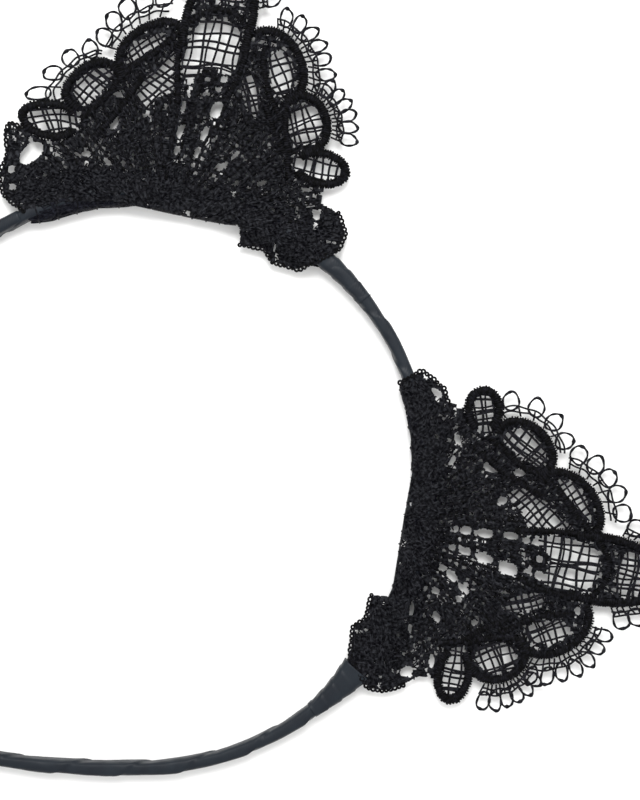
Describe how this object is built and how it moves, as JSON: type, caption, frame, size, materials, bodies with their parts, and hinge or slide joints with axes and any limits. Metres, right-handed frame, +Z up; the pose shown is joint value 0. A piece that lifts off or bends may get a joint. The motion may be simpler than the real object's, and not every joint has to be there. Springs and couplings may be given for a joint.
{
  "type": "animal ears headband",
  "caption": "Thin ribbon-wound spring hair hoop with two upright lace cat ears sewn to it, each ear a fan of clothwork with netted petals, raised outline cords and looped picot edging",
  "frame": {"origin": "the middle of the hoop, on the plane that the headband lies on", "axes": "+Z up from that plane, along the hoop's axis; +Y towards the crown; +X towards the wearer's right ear, which is the ear on the +X side"},
  "size_m": [0.1785, 0.1563, 0.0058],
  "materials": {
    "strip_steel": "brushed spring steel",
    "ribbon_satin": "matte satin ribbon",
    "lace_thread": "embroidered viscose thread, soft sheen",
    "net_thread": "fine twisted thread",
    "sewing_thread": "polyester sewing thread"
  },
  "bodies": {
    "crown": {"crown_strip": "strip_steel", "crown_ribbon": "ribbon_satin", "left_lace_collar": "ribbon_satin", "left_lace_hem": "lace_thread", "left_hem_stitches": "sewing_thread", "right_lace_collar": "ribbon_satin", "right_lace_hem": "lace_thread", "right_hem_stitches": "sewing_thread"},
    "left_arm": {"left_arm_strip": "strip_steel", "left_arm_ribbon": "ribbon_satin", "left_tip_fold": "ribbon_satin"},
    "right_arm": {"right_arm_strip": "strip_steel", "right_arm_ribbon": "ribbon_satin", "right_tip_fold": "ribbon_satin"},
    "left_ear": {"left_ear_clothwork": "lace_thread", "left_ear_net": "net_thread", "left_ear_outline_cord": "lace_thread", "left_ear_picots": "net_thread"},
    "right_ear": {"right_ear_clothwork": "lace_thread", "right_ear_net": "net_thread", "right_ear_outline_cord": "lace_thread", "right_ear_picots": "net_thread"}
  },
  "joints": [
    {"name": "left_arm_flex", "type": "hinge", "parent": "crown", "child": "left_arm", "pos_m": [-0.06334, 0.00279, 0.0028], "axis": [0, 0, -1], "range_deg": [0, 25], "stiffness_Nm_per_rad": 0.35},
    {"name": "right_arm_flex", "type": "hinge", "parent": "crown", "child": "right_arm", "pos_m": [0.06334, 0.00279, 0.0028], "axis": [0, 0, 1], "range_deg": [0, 25], "stiffness_Nm_per_rad": 0.35},
    {"name": "left_ear_bend", "type": "hinge", "parent": "crown", "child": "left_ear", "pos_m": [-0.04638, 0.04973, 0.0028], "axis": [0.7314, 0.682, 0], "range_deg": [-45, 45], "stiffness_Nm_per_rad": 0.02},
    {"name": "right_ear_bend", "type": "hinge", "parent": "crown", "child": "right_ear", "pos_m": [0.04808, 0.04808, 0.0028], "axis": [0.7071, -0.7071, 0], "range_deg": [-45, 45], "stiffness_Nm_per_rad": 0.02}
  ]
}
